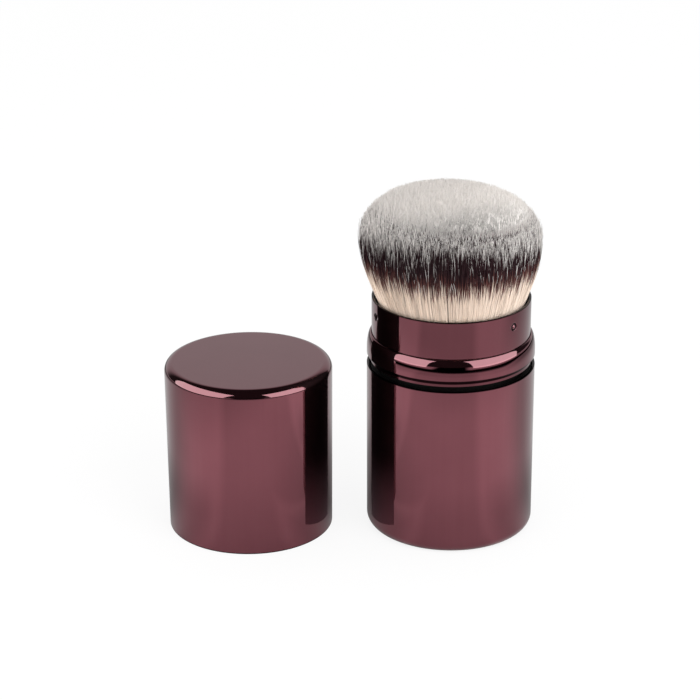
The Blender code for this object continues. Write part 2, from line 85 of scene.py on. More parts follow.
MIX_SHARE, MIX_FIRST, MIX_SECOND, MIX_RESULT = 0, 6, 7, 2
RANDOM_LOW, RANDOM_HIGH, RANDOM_SEED, RANDOM_RESULT = 2, 3, 8, 1
EVEN_STEPS = (0.7548776662, 0.5698402910)
EVEN_JITTER = 0.02
NOISE_SHIFT = (1.0, 2.0, 3.0)
UNSTRETCHED = (1.0, 1.0, 1.0)

WHITE = (1.0, 1.0, 1.0)
BLACK = (0.0, 0.0, 0.0)
DARK_FRONT = (0.04, 0.04, 0.04)
DARK_CARD = (0.01, 0.006, 0.007)
PALE_FOOT = (0.27, 0.23, 0.25)
PALE_BACK = (0.60, 0.60, 0.60)
SOFTBOX_TINT = (0.94, 1.28, 1.18)

Triple = tuple[float, float, float]
Span = tuple[float, float]


class Body(Enum):
    """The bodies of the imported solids."""

    BASE = "base"
    COLLAR = "collar"
    CAP = "cap"


class Slot(Enum):
    """The record's material slots."""

    PLATING = "wine_plating"
    ALUMINIUM = "bare_aluminium"
    STEEL = "zinc_steel"
    PLASTIC = "dark_plastic"
    RUBBER = "black_rubber"
    RESIN = "amber_resin"
    THREAD = "binding_thread"
    FIBRE = "bristle_fibre"


class Mark(Enum):
    """Values that a mesh carries at its points and a finish reads."""

    SHADE = "shade"
    DARK = "dark_level"
    PALE = "pale_level"
    TONE = "tone"


class Draw(Enum):
    """A fibre's random draws, by what each adds to its sector's seed."""

    EVEN = 1
    SPREAD = 2
    SHORT = 3
    DRIFT_X = 4
    DRIFT_Y = 5
    DARK = 6
    STROKE_LENGTH = 7
    TONE = 8
    SPRING = 9
    STROKE = 10
    LINE = 11
    DEPTH = 12
    SWING = 13
    LONE = 14


def operator(operation: str, swapped: bool = False) -> Callable[[Value, Value | float], Value]:
    """Make the method of one of Python's operators.

    Args:
        operation: The operation of its Math node.
        swapped: Whether the other value comes first.

    Returns:
        The method.
    """
    def method(value: Value, other: Value | float) -> Value:
        """Add the Math node."""
        return value.graph.maths(operation, *((other, value) if swapped else (value, other)))

    return method


class Value:
    """A socket of a node tree that Python's operators do maths on."""

    def __init__(self, graph: Graph, socket: NodeSocket) -> None:
        """Keep an output socket and the graph that adds the maths nodes."""
        self.graph = graph
        self.socket = socket

    __add__, __radd__ = operator("ADD"), operator("ADD", swapped=True)
    __sub__, __rsub__ = operator("SUBTRACT"), operator("SUBTRACT", swapped=True)
    __mul__, __rmul__ = operator("MULTIPLY"), operator("MULTIPLY", swapped=True)
    __truediv__, __rtruediv__ = operator("DIVIDE"), operator("DIVIDE", swapped=True)
    __pow__, __rpow__ = operator("POWER"), operator("POWER", swapped=True)


Feed = Value | float | int | str | Sequence[float] | ID
Inputs = dict[str | int, Feed]
Settings = dict[str, Any]


class Graph:
    """Adds nodes to one tree and joins them."""

    def __init__(self, tree: NodeTree) -> None:
        """Keep the shader, world or geometry node tree."""
        self.tree = tree

    def fill(self, node: Node, inputs: Inputs) -> None:
        """Link or set inputs of a node.

        Args:
            node: The node.
            inputs: Values or links by socket name or number. A colour is given without its alpha.
        """
        for name, value in inputs.items():
            socket = node.inputs[name]
            if isinstance(value, Value):
                self.tree.links.new(value.socket, socket)
            else:
                socket.default_value = (*value, 1.0) if socket.type == "RGBA" else value

    def add(self, kind: str, settings: Settings | None = None, inputs: Inputs | None = None) -> Node:
        """Add one node.

        Args:
            kind: The node's type.
            settings: Its properties, set before its sockets.
            inputs: Values or links by socket name or number.

        Returns:
            The node.
        """
        made = self.tree.nodes.new(kind)
        for name, setting in (settings or {}).items():
            setattr(made, name, setting)
        self.fill(made, inputs or {})
        return made

    def node(self, kind: str, settings: Settings | None = None, inputs: Inputs | None = None,
             output: str | int = 0) -> Value:
        """Add one node and read one of its outputs, by name or number."""
        return Value(self, self.add(kind, settings, inputs).outputs[output])

    def maths(self, operation: str, *values: Value | float) -> Value:
        """Add one Math node with its inputs in order."""
        return self.node("ShaderNodeMath", {"operation": operation}, dict(enumerate(values)))

    def step(self, value: Value, start: float, end: float, reach: float = 1.0) -> Value:
        """Rise smoothly from 0 where a value is at the start to the reach where it is at the end."""
        inputs = {"Value": value, "From Min": start, "From Max": end, "To Max": reach}
        return self.node("ShaderNodeMapRange", {"interpolation_type": "SMOOTHSTEP"}, inputs)

    def mix(self, share: Value | float, first: Value | Triple, second: Value | Triple) -> Value:
        """Mix two colours, by how much of the second there is."""
        inputs = {MIX_SHARE: share, MIX_FIRST: first, MIX_SECOND: second}
        return self.node("ShaderNodeMix", {"data_type": "RGBA"}, inputs, MIX_RESULT)

    def mark(self, mark: Mark) -> Value:
        """Read a value that the mesh carries at its points."""
        return self.node("ShaderNodeAttribute", {"attribute_name": mark.value}, output="Fac")

    def place(self, stretch: Triple = UNSTRETCHED) -> Value:
        """Read where a point is on its object, with each coordinate multiplied by its stretch."""
        spot = self.node("ShaderNodeTexCoord", output="Object")
        return self.node("ShaderNodeMapping", inputs={"Vector": spot, "Scale": stretch})

    def parts(self, vector: Value) -> list[Value]:
        """Read a vector's three coordinates."""
        split = self.add("ShaderNodeSeparateXYZ", inputs={0: vector})
        return [Value(self, output) for output in split.outputs]

    def vector(self, x: Value, y: Value, z: Value | float = 0.0) -> Value:
        """Make a vector of its coordinates."""
        return self.node("ShaderNodeCombineXYZ", inputs={"X": x, "Y": y, "Z": z})

    def noise(self, place: Value, size: float, detail: float = 2.0) -> Value:
        """Add noise around 0.5 with blotches of a size in metres, and finer layers by its detail."""
        inputs = {"Vector": place, "Scale": 1 / size, "Detail": detail}
        return self.node("ShaderNodeTexNoise", inputs=inputs)

    def chance(self, seed: Value, low: float = 0.0, high: float = 1.0) -> Value:
        """Draw a random number for each point. The seed sets this draw apart from others."""
        inputs = {RANDOM_LOW: low, RANDOM_HIGH: high, RANDOM_SEED: seed}
        return self.node("FunctionNodeRandomValue", {"data_type": "FLOAT"}, inputs, RANDOM_RESULT)

    def store(self, geometry: Value, name: str, value: Value) -> Value:
        """Keep a value on the points of a geometry, under a name."""
        inputs = {"Geometry": geometry, "Name": name, "Value": value}
        return self.node("GeometryNodeStoreNamedAttribute", {"data_type": "FLOAT"}, inputs)

    def named(self, name: str) -> Value:
        """Read a value that was kept on the points."""
        return self.node("GeometryNodeInputNamedAttribute", {"data_type": "FLOAT"}, {"Name": name})

    def bump(self, height: Value, depth: float) -> Value:
        """Turn a height into a surface normal, where 1 lies a depth in metres above 0."""
        return self.node("ShaderNodeBump", inputs={"Strength": 1.0, "Distance": depth, "Height": height})


def node_material(name: str) -> tuple[Material, Graph, Node]:
    """Make a new material.

    Args:
        name: Its name.

    Returns:
        The material, its graph and its Principled shader.
    """
    material = bpy.data.materials.new(name)
    material.use_nodes = True
    tree = material.node_tree
    return material, Graph(tree), tree.nodes["Principled BSDF"]


@dataclass(frozen=True)
class Finish:
    """What all finishes have in common. The spread is how much rougher the coarsest grain is."""

    slot: Slot
    colour: Triple
    roughness: float
    spread: float = 0.0
    depth: float = 0.0
    metallic: float = 0.0
    coat: float = 0.0
    specular: float = 0.5

    def build(self) -> Material:
        """Make the material.

        Returns:
            A material with one Principled shader, painted by nodes.
        """
        material, graph, shader = node_material(f"{self.slot.value}_finish")
        even = {"Base Color": self.colour, "Roughness": self.roughness, "Metallic": self.metallic,
                "Coat Weight": self.coat, "Specular IOR Level": self.specular}
        graph.fill(shader, even | self.paint(graph))
        return material

    def paint(self, graph: Graph) -> dict[str, Value]:
        """What changes over the surface, by the name of the shader's socket."""
        raise NotImplementedError

    def skin(self, graph: Graph, colour: Value, grain: Value, height: Value) -> dict[str, Value]:
        """A colour, the roughness that a grain gives and the relief that a height gives."""
        roughness = grain * self.spread + self.roughness
        return {"Base Color": colour, "Roughness": roughness, "Normal": graph.bump(height, self.depth)}


@dataclass(frozen=True)
class Plating(Finish):
    """Mirror-polished wine-coloured plating under a clear lacquer."""

    slot: Slot = Slot.PLATING
    colour: Triple = (0.175, 0.043, 0.058)
    light_colour: Triple = (0.225, 0.066, 0.085)
    # The near-black that painted shade darkens the plating towards.
    painted_shade_colour: Triple = (0.010, 0.003, 0.004)
    roughness: float = 0.03
    spread: float = 0.05
    depth: float = 0.0006 * MM
    metallic: float = 1.0
    coat: float = 0.6
    cloud_size: float = 9.0 * MM
    cloud_detail: float = 3.0
    cloud_share: float = 0.5
    line_size: float = 0.9 * MM
    line_stretch: Triple = (1.0, 1.0, 0.03)
    line_share: float = 0.3
    tone_drop: float = 0.15

    def paint(self, graph: Graph) -> dict[str, Value]:
        """Soft clouds, faint drawing lines along the axis, and painted shade where the mesh's shade mark
        is set.

        Args:
            graph: The material's graph.

        Returns:
            The values by the name of the shader's socket.
        """
        clouds = graph.noise(graph.place(), self.cloud_size, self.cloud_detail)
        lines = graph.noise(graph.place(self.line_stretch), self.line_size)
        tone = clouds * self.cloud_share + lines * self.line_share - self.tone_drop
        # Painted shade: the shade mark darkens the colour and takes away the lacquer's gloss.
        shade = graph.mark(Mark.SHADE)
        colour = graph.mix(shade, graph.mix(tone, self.colour, self.light_colour), self.painted_shade_colour)
        return self.skin(graph, colour, clouds, lines + clouds) | {"Coat Weight": (1 - shade) * self.coat}


@dataclass(frozen=True)
class Plastic(Finish):
    """Moulded plastic with a fine matt grain and faint flow marks."""

    slot: Slot = Slot.PLASTIC
    colour: Triple = (0.0036, 0.0018, 0.0022)
    light_colour: Triple = (0.00576, 0.00288, 0.00352)
    roughness: float = 0.49
    spread: float = 0.12
    depth: float = 0.004 * MM
    specular: float = 0.12
    grain_size: float = 0.18 * MM
    flow_size: float = 5.0 * MM
    flow_stretch: Triple = (1.0, 1.0, 0.3)
    flow_share: float = 0.5

    def paint(self, graph: Graph) -> dict[str, Value]:
        """The grain and the flow marks.

        Args:
            graph: The material's graph.

        Returns:
            The values by the name of the shader's socket.
        """
        grain = graph.noise(graph.place(), self.grain_size)
        flow = graph.noise(graph.place(self.flow_stretch), self.flow_size)
        tone = graph.mix(flow * self.flow_share, self.colour, self.light_colour)
        return self.skin(graph, tone, grain, grain)


@dataclass(frozen=True)
class ZincSteel(Finish):
    """Zinc-plated steel, slightly mottled."""

    slot: Slot = Slot.STEEL
    colour: Triple = (0.50, 0.51, 0.52)
    dark_colour: Triple = (0.3600, 0.3672, 0.3744)
    roughness: float = 0.23
    spread: float = 0.25
    depth: float = 0.003 * MM
    metallic: float = 1.0
    spangle_size: float = 1.2 * MM
    haze_detail: float = 4.0

    def paint(self, graph: Graph) -> dict[str, Value]:
        """The spangles and their haze.

        Args:
            graph: The material's graph.

        Returns:
            The values by the name of the shader's socket.
        """
        inputs = {"Vector": graph.place(), "Scale": 1 / self.spangle_size}
        spangle = graph.node("ShaderNodeTexVoronoi", inputs=inputs, output="Distance")
        haze = graph.noise(graph.place(), self.spangle_size, self.haze_detail)
        return self.skin(graph, graph.mix(spangle, self.dark_colour, self.colour), haze, haze)


@dataclass(frozen=True)
class Mottled(Finish):
    """What the finishes have in common in which one noise sets tone, gloss and relief."""

    mottled_colour: Triple = WHITE
    mottle_share: float = 1.0
    mottle_size: float = 1.0 * MM
    mottle_stretch: Triple = UNSTRETCHED
    mottle_detail: float = 3.0

    def paint(self, graph: Graph) -> dict[str, Value]:
        """The mottling.

        Args:
            graph: The material's graph.

        Returns:
            The values by the name of the shader's socket.
        """
        mottle = graph.noise(graph.place(self.mottle_stretch), self.mottle_size, self.mottle_detail)
        tone = graph.mix(mottle * self.mottle_share, self.colour, self.mottled_colour)
        return self.skin(graph, tone, mottle, mottle)


@dataclass(frozen=True)
class TurnedAluminium(Mottled):
    """Aluminium with the fine rings that turning and pressing leave."""

    slot: Slot = Slot.ALUMINIUM
    colour: Triple = (0.528, 0.528, 0.536)
    mottled_colour: Triple = (0.66, 0.66, 0.67)
    roughness: float = 0.20
    spread: float = 0.20
    depth: float = 0.003 * MM
    metallic: float = 1.0
    mottle_size: float = 0.35 * MM
    mottle_stretch: Triple = (0.04, 0.04, 1.0)


@dataclass(frozen=True)
class Rubber(Mottled):
    """Matt rubber with a dusty bloom."""

    slot: Slot = Slot.RUBBER
    colour: Triple = (0.009, 0.009, 0.009)
    mottled_colour: Triple = (0.0225, 0.0225, 0.0225)
    roughness: float = 0.60
    spread: float = 0.20
    depth: float = 0.006 * MM
    mottle_share: float = 0.5
    mottle_size: float = 0.8 * MM
    mottle_detail: float = 4.0


@dataclass(frozen=True)
class Resin(Mottled):
    """Cast resin, deeper amber in places."""

    slot: Slot = Slot.RESIN
    colour: Triple = (0.440, 0.216, 0.056)
    mottled_colour: Triple = (0.55, 0.36, 0.14)
    roughness: float = 0.15
    spread: float = 0.10
    depth: float = 0.01 * MM
    coat: float = 0.5
    mottle_size: float = 4.0 * MM


@dataclass(frozen=True)
class Thread(Finish):
    """Waxed thread wound round and round."""

    slot: Slot = Slot.THREAD
    colour: Triple = (0.62, 0.55, 0.44)
    dark_colour: Triple = (0.3410, 0.3025, 0.2420)
    roughness: float = 0.70
    spread: float = 0.10
    depth: float = 0.05 * MM
    pitch: float = 0.27 * MM
    twist_size: float = 0.12 * MM
    twist_stretch: Triple = (0.3, 0.3, 1.0)
    twist_share: float = 0.2

    def paint(self, graph: Graph) -> dict[str, Value]:
        """The windings, which lie one above the other.

        Args:
            graph: The material's graph.

        Returns:
            The values by the name of the shader's socket.
        """
        height = graph.parts(graph.place())[2]
        winding = graph.maths("SINE", height * (math.tau / self.pitch)) * 0.5 + 0.5
        twist = graph.noise(graph.place(self.twist_stretch), self.twist_size)
        tone = graph.mix(winding, self.dark_colour, self.colour)
        return self.skin(graph, tone, twist, winding + twist * self.twist_share)


@dataclass(frozen=True)
class Fibre(Finish):
    """Soft fibre: a cream root, a wine-brown edge, a near-black band and a pale tip."""

    slot: Slot = Slot.FIBRE
    colour: Triple = (0.97, 0.80, 0.67)
    brown: Triple = (0.150, 0.048, 0.042)
    black: Triple = (0.030, 0.008, 0.012)
    grey: Triple = (0.36, 0.32, 0.31)
    pale: Triple = (0.90, 0.86, 0.83)
    roughness: float = 0.60
    specular: float = 0.2
    brown_rise: float = 2.2 * MM
    black_rise: float = 4.6 * MM
    grey_rise: float = 0.6 * MM
    pale_rise: float = 1.8 * MM

    def paint(self, graph: Graph) -> dict[str, Value]:
        """The colour, by each fibre's own heights of change, and its own tone, which also carries painted
        shade.

        Args:
            graph: The material's graph.

        Returns:
            The values by the name of the shader's socket.
        """
        dark = graph.mark(Mark.DARK)
        tip = graph.mark(Mark.PALE)
        colour = graph.mix(graph.step(dark, 0.0, self.brown_rise), self.colour, self.brown)
        colour = graph.mix(graph.step(dark, self.brown_rise, self.black_rise), colour, self.black)
        colour = graph.mix(graph.step(tip, 0.0, self.grey_rise), colour, self.grey)
        colour = graph.mix(graph.step(tip, self.grey_rise, self.pale_rise), colour, self.pale)
        inputs = {"Value": graph.mark(Mark.TONE), "Color": colour}
        return {"Base Color": graph.node("ShaderNodeHueSaturation", inputs=inputs)}


FINISHES = (Plating(), Plastic(), ZincSteel(), TurnedAluminium(), Rubber(), Resin(), Thread(), Fibre())


class Spot(NamedTuple):
    """A point of a turned form's outline, and how much painted shade darkens the finish there."""

    radius: float
    height: float
    shade: float = 0.0


def arc(centre: Span, across: float, up: float, start: float, end: float, steps: int,
        shade: float = 0.0) -> list[Spot]:
    """Points along an ellipse's arc.

    Args:
        centre: Its centre's radius and height.
        across: Half its width.
        up: Half its height.
        start: Where it starts, in degrees.
        end: Where it ends, in degrees.
        steps: How many steps it takes.
        shade: How much painted shade darkens the finish there.

    Returns:
        The points in order.
    """
    spots = []
    for step in range(steps + 1):
        angle = math.radians(start + (end - start) * step / steps)
        radius = centre[0] + across * math.cos(angle)
        spots.append(Spot(radius, centre[1] + up * math.sin(angle), shade))
    return spots


def supported(outline: Sequence[Spot], closed: bool) -> list[Spot]:
    """Add a point near both ends of each long straight stretch, so that shading stays flat there.

    Args:
        outline: The points in order.
        closed: Whether the last point joins the first.

    Returns:
        The points with those added.
    """
    following = list(outline[1:]) + ([outline[0]] if closed else [])
    made = []
    for here, there in zip(outline, following):
        made.append(here)
        length = math.hypot(there.radius - here.radius, there.height - here.height)
        if length > LONG_STRETCH:
            for share in (EDGE_SUPPORT / length, 1 - EDGE_SUPPORT / length):
                radius = here.radius + (there.radius - here.radius) * share
                height = here.height + (there.height - here.height) * share
                made.append(Spot(radius, height, min(here.shade, there.shade)))
    if not closed:
        made.append(outline[-1])
    return made


def make_ring(bm: BMesh, spot: Spot, angles: Sequence[float], axis_x: float = 0.0) -> list[BMVert]:
    """Set a spot's points around an upright axis.

    Args:
        bm: The bmesh.
        spot: The spot. One on the axis makes a single point.
        angles: Where the points are.
        axis_x: Where the axis stands along X.

    Returns:
        The points.
    """
    ring = []
    for angle in angles if spot.radius > AXIS_LIMIT else angles[:1]:
        across = (axis_x + spot.radius * math.cos(angle), spot.radius * math.sin(angle))
        ring.append(bm.verts.new((*across, spot.height)))
    return ring


def bridge(bm: BMesh, lower: Sequence[BMVert], upper: Sequence[BMVert], count: int) -> None:
    """Join two rings with faces, around to where they start or only part of the way.

    Args:
        bm: The bmesh.
        lower: One ring.
        upper: The next one.
        count: How many faces there are.
    """
    for number in range(count):
        after = number + 1
        corners = [lower[number % len(lower)], lower[after % len(lower)],
                   upper[after % len(upper)], upper[number % len(upper)]]
        bm.faces.new(dict.fromkeys(corners))


def link(name: str, data: ID) -> Object:
    """Make an object and link it to the scene.

    Args:
        name: Its name.
        data: Its mesh, light or camera.

    Returns:
        The object.
    """
    made = bpy.data.objects.new(name, data)
    bpy.context.scene.collection.objects.link(made)
    return made


def finish_mesh(bm: BMesh, name: str) -> Object:
    """Turn a bmesh into a linked object that is shaded smooth with its sharp edges kept.

    Args:
        bm: The bmesh, which is freed.
        name: The object's name.

    Returns:
        The object.
    """
    bmesh.ops.recalc_face_normals(bm, faces=bm.faces)
    mesh = bpy.data.meshes.new(name)
    bm.to_mesh(mesh)
    bm.free()
    mesh.shade_smooth()
    mesh.set_sharp_from_angle(angle=SHARP_ANGLE)
    return link(name, mesh)


def turned(outline: Sequence[Spot], name: str, axis_x: float = 0.0,
           angles: Sequence[float] = EVEN_ANGLES) -> Object:
    """Turn an outline about an upright axis.

    Args:
        outline: Its points. One that starts on the axis ends there too, and any other is closed.
        name: The object's name.
        axis_x: Where the axis stands along X.
        angles: Where its edges run.

    Returns:
        The object, with how much painted shade darkens the finish at each point.
    """
    closed = outline[0].radius > AXIS_LIMIT
    bm = bmesh.new()
    shade = bm.verts.layers.float.new(Mark.SHADE.value)
    rings = []
    for spot in supported(outline, closed):
        rings.append(make_ring(bm, spot, angles, axis_x))
        for vert in rings[-1]:
            vert[shade] = spot.shade
    for lower, upper in zip(rings, rings[1:] + (rings[:1] if closed else [])):
        bridge(bm, lower, upper, len(angles))
    return finish_mesh(bm, name)


def dress(piece: Object, material: Material) -> None:
    """Give a piece one material in place of what it has."""
    piece.data.materials.clear()
    piece.data.materials.append(material)


class Workshop:
    """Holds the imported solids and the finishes, and sets finished pieces on their bodies."""

    def __init__(self, nodes: dict[str, Object]) -> None:
        """Keep the solids by name, and make every finish once."""
        self.nodes = nodes
        self.materials = {finish.slot: finish.build() for finish in FINISHES}

    def place(self, piece: Object, body: Body, slot: Slot, *nodes: str) -> None:
        """Dress a new piece, let it ride on its body and stand for its solids.

        Args:
            piece: The piece.
            body: The body that it moves with.
            slot: The slot that its finish belongs to.
            nodes: The solids that it stands for.
        """
        dress(piece, self.materials[slot])
        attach(piece, body.value)
        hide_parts(*nodes)
        log.info("%s rides on %s, %d faces", piece.name, body.value, len(piece.data.polygons))

    def keep(self, slot: Slot, *nodes: str) -> None:
        """Dress solids that show as they are.

        Args:
            slot: The slot that their finish belongs to.
            nodes: The solids' names.
        """
        for node in nodes:
            dress(self.nodes[node], self.materials[slot])
            log.info("%s keeps its solid", node)


@dataclass(frozen=True)
class Base:
    """The cup that is held in the hand, and what is fixed inside it."""

    workshop: Workshop
    wall: float = 0.5 * MM
    foot_round: float = 2.2 * MM
    edge_round: float = 0.08 * MM
    bush_bore: float = 15.32 * MM
    bush_edge: float = 0.15 * MM

    def build(self) -> None:
        """Make and dress every piece of the base but the bristles."""
        self.make_cup()
        self.make_bush()
        self.workshop.keep(Slot.PLASTIC, "base_liner", "knot_post")
        screws = ("post_screw", "post_washer", "ferrule_screw", "ferrule_washer")
        self.workshop.keep(Slot.STEEL, "ballast_ring", *screws)
        self.workshop.keep(Slot.ALUMINIUM, "ferrule_cup")
        self.workshop.keep(Slot.RESIN, "resin_plug")
        self.workshop.keep(Slot.THREAD, "knot_binding")

    def make_cup(self) -> None:
        """Turn the metal cup, with its rounded foot and its thin rim, which carries a dark line of
        painted shade.
        """
        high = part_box("base_shell")[1]
        foot, edge = self.foot_round, self.edge_round
        inner = foot - self.wall
        bore = high.x - self.wall
        outline = [Spot(0, 0)]
        outline += arc((high.x - foot, foot), foot, foot, -90, 0, FOOT_STEPS)
        # Painted shade: a dark line round the rim's outer and inner edges.
        outline += arc((high.x - edge, high.z - edge), edge, edge, 0, 90, EDGE_STEPS, 1.0)
        outline += arc((bore + edge / 2, high.z - edge / 2), edge / 2, edge / 2, 90, 180, RIM_STEPS, 1.0)
        outline += arc((high.x - foot, foot), inner, inner, 0, -90, INNER_STEPS)
        outline += [Spot(0, self.wall)]
        self.workshop.place(turned(outline, "base_cup"), Body.BASE, Slot.PLATING, "base_shell")

    def make_bush(self) -> None:
        """Turn the plastic bush in the cup's mouth."""
        low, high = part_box("guide_bush")
        edge = self.bush_edge
        outline = arc((high.x - edge, high.z - edge), edge, edge, 0, 90, BUSH_STEPS)
        outline += arc((self.bush_bore + edge, high.z - edge), edge, edge, 90, 180, BUSH_STEPS)
        outline += [Spot(self.bush_bore, low.z), Spot(high.x, low.z)]
        self.workshop.place(turned(outline, "bush_ring"), Body.BASE, Slot.PLASTIC, "guide_bush")


@dataclass(frozen=True)
class Collar:
    """The sliding sleeve with its metal collar, grip bumps and trim ring."""

    workshop: Workshop
    wall: float = 0.45 * MM
    inset: float = 1.0 * MM
    rim_round: float = 0.08 * MM
    edge_round: float = 0.2 * MM
    ring_bore: float = 16.7 * MM
    ring_height: float = 4.65 * MM
    band_height: float = 1.1 * MM
    skirt_radius: float = 16.9 * MM
    # Painted shade on the skirt: at its top, lower down and at its foot, how far the darkest part
    # reaches, and where it fades.
    skirt_shades: Triple = (1.0, 0.3, 0.5)
    shaded: float = 0.62 * MM
    shade_end: float = 1.2
    flange: float = 0.5 * MM
    flange_bore: float = 15.3 * MM
    sleeve_radius: float = 15.2 * MM
    sleeve_wall: float = 0.9 * MM
    head_wall: float = 0.6 * MM
    bump_count: int = 3
    first_bump: float = math.radians(-42)
    bump_below_rim: float = 2.9 * MM
    bump_proud: float = 0.22 * MM
    bump_radius: float = 0.42 * MM
    bump_margin: float = 1.1
    groove_radius: float = 0.88 * MM
    groove_depth: float = 0.12 * MM
    groove_shade: float = 3.0
    fine_step: float = 0.06 * MM

    def build(self) -> None:
        """Make and dress every piece of the collar."""
        self.make_collar()
        self.make_trim()
        self.make_sleeve()
        self.workshop.keep(Slot.PLASTIC, "stop_ring")
        self.workshop.keep(Slot.RUBBER, "friction_ring")

    def bump_angles(self) -> list[float]:
        """Where the bumps are around the collar."""
        turns = [math.tau * number / self.bump_count for number in range(self.bump_count)]
        return [self.first_bump + turn for turn in turns]

    def fine_shares(self) -> list[float]:
        """Places across a bump and its groove, from -1 to 1."""
        steps = math.ceil(self.groove_radius / self.fine_step)
        return [step / steps for step in range(-steps, steps + 1)]

    def make_collar(self) -> None:
        """Turn the collar's tube, finer around its bumps, and press the bumps out of it, with painted
        shade along the rim and in the grooves.
        """
        low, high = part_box("collar_shell")
        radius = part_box("base_shell")[1].x - self.inset
        inner = radius - self.wall
        edge = self.rim_round
        bump_height = high.z - self.bump_below_rim
        outline = [Spot(radius, bump_height + self.groove_radius * share) for share in self.fine_shares()]
        # Painted shade: a dark line round the rim's outer edge and top, where the bristles meet it.
        outline += arc((radius - edge, high.z - edge), edge, edge, 0, 90, EDGE_STEPS, 1.0)
        outline += [Spot(inner, high.z, 1.0), Spot(inner, low.z), Spot(radius, low.z)]
        piece = turned(outline, "collar_tube", angles=self.fine_angles(radius))
        shade = piece.data.attributes[Mark.SHADE.value].data
        for vert in piece.data.vertices:
            if math.hypot(vert.co.x, vert.co.y) > radius - EDGE_SUPPORT:
                out = self.pressed(vert.co, radius, bump_height)
                vert.co.xy *= 1 + out / radius
                # Painted shade in the groove round each bump, darkest at its bottom.
                dark = min(-out / self.groove_depth * self.groove_shade, 1.0)
                shade[vert.index].value = max(shade[vert.index].value, dark)
        self.workshop.place(piece, Body.COLLAR, Slot.PLATING, "collar_shell")

    def fine_angles(self, radius: float) -> list[float]:
        """Angles around the collar, close together across each bump.

        Args:
            radius: The collar's outer radius.

        Returns:
            The angles in rising order, from 0 up to a full turn.
        """
        reach = self.groove_radius / radius
        bumps = [angle % math.tau for angle in self.bump_angles()]
        angles = [bump + reach * share for bump in bumps for share in self.fine_shares()]
        for angle in EVEN_ANGLES:
            away = min(abs(math.remainder(angle - bump, math.tau)) for bump in bumps)
            if away > reach * self.bump_margin:
                angles.append(angle)
        return sorted(angles)

    def pressed(self, place: Vector, radius: float, bump_height: float) -> float:
        """How far the press moves a point of the collar's wall outwards.

        Args:
            place: The point.
            radius: The wall's radius.
            bump_height: The height of the bumps' middles.

        Returns:
            More than 0 on a bump, less than 0 in the groove around it, and else 0.
        """
        angle = math.atan2(place.y, place.x)
        turn = min(abs(math.remainder(angle - bump, math.tau)) for bump in self.bump_angles())
        away = math.hypot(turn * radius, place.z - bump_height)
        if away < self.bump_radius:
            return self.bump_proud * (1 + math.cos(math.pi * away / self.bump_radius)) / 2
        if away < self.groove_radius:
            share = (away - self.bump_radius) / (self.groove_radius - self.bump_radius)
            return -self.groove_depth * math.sin(math.pi * share)
        return 0.0

    def make_trim(self) -> None:
        """Turn the trim ring: shoulder, band, and the skirt that drops into the base, with painted shade
        under the band and down the skirt.
        """
        low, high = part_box("trim_ring")
        edge, skirt = self.edge_round, self.skirt_radius
        bottom = high.z - self.ring_height
        band_top = bottom + self.band_height
        flange_top = bottom + self.flange
        upper_shade, pale_shade, lower_shade = self.skirt_shades
        outline = [Spot(self.ring_bore, flange_top)]
        across, up = high.x - self.ring_bore, high.z - band_top
        outline += arc((self.ring_bore, band_top), across, up, 90, 0, SHOULDER_STEPS)
        # Painted shade: a dark line under the band and down the top of the skirt, lighter lower down.
        outline += arc((high.x - edge, bottom + edge), edge, edge, 0, -90, EDGE_STEPS, 1.0)
        outline += [Spot(skirt, bottom, upper_shade), Spot(skirt, bottom - self.shaded, upper_shade)]
        outline += [Spot(skirt, bottom - self.shade_end * self.shaded, pale_shade)]
        outline += [Spot(skirt, low.z, lower_shade)]
        outline += [Spot(self.flange_bore, low.z), Spot(self.flange_bore, flange_top)]
        self.workshop.place(turned(outline, "trim_band"), Body.COLLAR, Slot.PLATING, "trim_ring")

    def make_sleeve(self) -> None:
        """Turn the plastic sleeve that slides in the base."""
        low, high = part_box("guide_sleeve")
        bore = self.sleeve_radius - self.sleeve_wall
        head_bore = high.x - self.head_wall
        head_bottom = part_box("collar_shell")[0].z
        step = head_bottom + self.sleeve_wall
        outline = [Spot(head_bore, high.z), Spot(high.x, high.z), Spot(high.x, head_bottom)]
        outline += [Spot(self.sleeve_radius, head_bottom), Spot(self.sleeve_radius, low.z)]
        outline += [Spot(bore, low.z), Spot(bore, step), Spot(head_bore, step + head_bore - bore)]
        self.workshop.place(turned(outline, "sleeve_tube"), Body.COLLAR, Slot.PLASTIC, "guide_sleeve")


